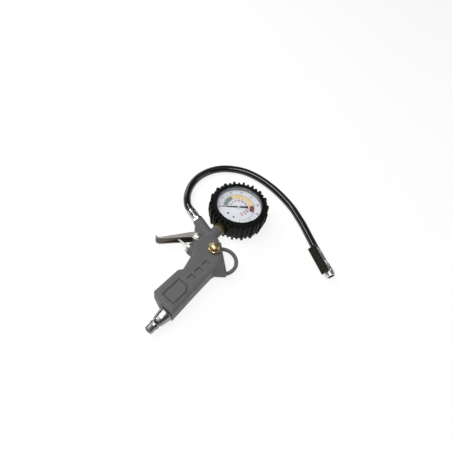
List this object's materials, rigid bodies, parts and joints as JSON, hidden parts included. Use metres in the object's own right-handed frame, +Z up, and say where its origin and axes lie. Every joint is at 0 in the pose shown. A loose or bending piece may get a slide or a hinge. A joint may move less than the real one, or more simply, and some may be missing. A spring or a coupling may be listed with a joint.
{
  "type": "tyre inflator with gauge",
  "caption": "Hand-held tyre inflator: cast pistol body, squeeze lever, rubber-booted dial gauge, brass bleed button, short hose with a clip-on chuck and a plug for an air line",
  "frame": {"origin": "bottom centre of the gun and gauge, on the table, leaving out the free hose and its chuck", "axes": "+Y from the inlet plug towards the gauge, +Z up from the table through the gauge's face, -X to the lever's side"},
  "size_m": [0.2296, 0.269, 0.0336],
  "materials": {
    "cast_body": "satin dark grey coating on a die casting",
    "inlet_steel": "nickel-plated steel, polished",
    "seal_rubber": "matt",
    "lever_steel": "nickel-plated pressed steel",
    "pin_steel": "bright turned steel",
    "gland_steel": "turned steel",
    "spring_steel": "drawn wire",
    "valve_brass": "turned brass",
    "fibre_washer": "fibre",
    "sealing_washer": "waxy",
    "fitting_steel": "plated",
    "hose_rubber": "smooth, glossy",
    "chuck_steel": "plated",
    "chuck_lever_steel": "plated pressed steel",
    "gauge_brass": "turned brass",
    "tube_bronze": "drawn bronze",
    "case_paint": "black",
    "lens_clear": "clear",
    "dial_white": "white enamel",
    "pointer_black": "black",
    "boot_rubber": "matt moulded"
  },
  "bodies": {
    "gun": {"body": "cast_body", "inlet_plug": "inlet_steel", "inlet_seal": "seal_rubber", "stem_oring": "seal_rubber", "chuck_seal": "seal_rubber", "lens_gasket": "seal_rubber", "lever_pin": "pin_steel", "lever_pin_clip": "pin_steel", "dial_screws": "pin_steel", "chuck_lever_pin": "pin_steel", "movement_screws": "pin_steel", "valve_gland": "gland_steel", "valve_spring": "spring_steel", "bleed_spring": "spring_steel", "chuck_spring": "spring_steel", "bleed_body": "valve_brass", "bleed_washer": "fibre_washer", "gauge_washer": "sealing_washer", "hose_nipple": "fitting_steel", "gun_ferrule": "fitting_steel", "chuck_ferrule": "fitting_steel", "hose": "hose_rubber", "chuck_body": "chuck_steel", "chuck_cap": "chuck_steel", "gauge_socket": "gauge_brass", "movement_back_plate": "gauge_brass", "movement_front_plate": "gauge_brass", "movement_pillars": "gauge_brass", "chuck_depressor": "gauge_brass", "bourdon_tube": "tube_bronze", "tube_tip": "tube_bronze", "hairspring": "tube_bronze", "gauge_case": "case_paint", "gauge_bezel": "case_paint", "gauge_lens": "lens_clear", "dial_plate": "dial_white", "stop_pin": "pointer_black", "gauge_boot": "boot_rubber"},
    "lever": {"lever": "lever_steel"},
    "valve": {"valve_stem": "pin_steel", "poppet_seal": "seal_rubber"},
    "bleed_button": {"bleed_button": "valve_brass", "bleed_poppet_seal": "seal_rubber", "bleed_retainer": "valve_brass"},
    "pointer": {"pointer": "pointer_black", "pinion_arbor": "gauge_brass"},
    "sector": {"sector_gear": "gauge_brass", "sector_arbor": "gauge_brass", "link_pin": "pin_steel"},
    "link": {"drive_link": "pin_steel"},
    "chuck_lever": {"chuck_lever": "chuck_lever_steel"}
  },
  "joints": [
    {"name": "lever_squeeze", "type": "hinge", "parent": "gun", "child": "lever", "pos_m": [-0.0127, 0.0076, 0.012], "axis": [0, 0, 1], "range_deg": [0, 9.5], "stiffness_Nm_per_rad": 1.2, "springref_deg": -8.59},
    {"name": "valve_stroke", "type": "slide", "parent": "gun", "child": "valve", "axis": [1, 0, 0], "range_m": [0, 0.0039], "deforming": ["valve_spring"]},
    {"name": "bleed_press", "type": "slide", "parent": "gun", "child": "bleed_button", "axis": [0, 0, -1], "range_m": [0, 0.0016], "stiffness_N_per_m": 1500, "springref_m": -0.0015, "deforming": ["bleed_spring"]},
    {"name": "sector_turn", "type": "hinge", "parent": "gun", "child": "sector", "pos_m": [0.0041, 0.06251, 0.014], "axis": [0, 0, 1], "range_deg": [0, 30], "stiffness_Nm_per_rad": 0.002, "springref_deg": -1.15, "deforming": ["hairspring"]},
    {"name": "pointer_turn", "type": "hinge", "parent": "gun", "child": "pointer", "pos_m": [-0.0034, 0.0755, 0.0243], "axis": [0, 0, 1], "range_deg": [-270, 0]},
    {"name": "link_swing", "type": "hinge", "parent": "sector", "child": "link", "pos_m": [0.0066, 0.05818, 0.016], "axis": [0, 0, 1], "range_deg": [-30, 0]},
    {"name": "chuck_lever_press", "type": "hinge", "parent": "gun", "child": "chuck_lever", "pos_m": [0.12565, 0.08854, 0.0105], "axis": [-0.3116, -0.5622, -0.766], "range_deg": [0, 5.5], "stiffness_Nm_per_rad": 0.4, "springref_deg": -6.88, "deforming": ["chuck_spring"]}
  ],
  "couplings": [
    {"joint": "valve_stroke", "follows": "lever_squeeze", "m_per_rad": 0.02314},
    {"joint": "pointer_turn", "follows": "sector_turn", "ratio": -9},
    {"joint": "link_swing", "follows": "sector_turn", "ratio": -0.98}
  ]
}
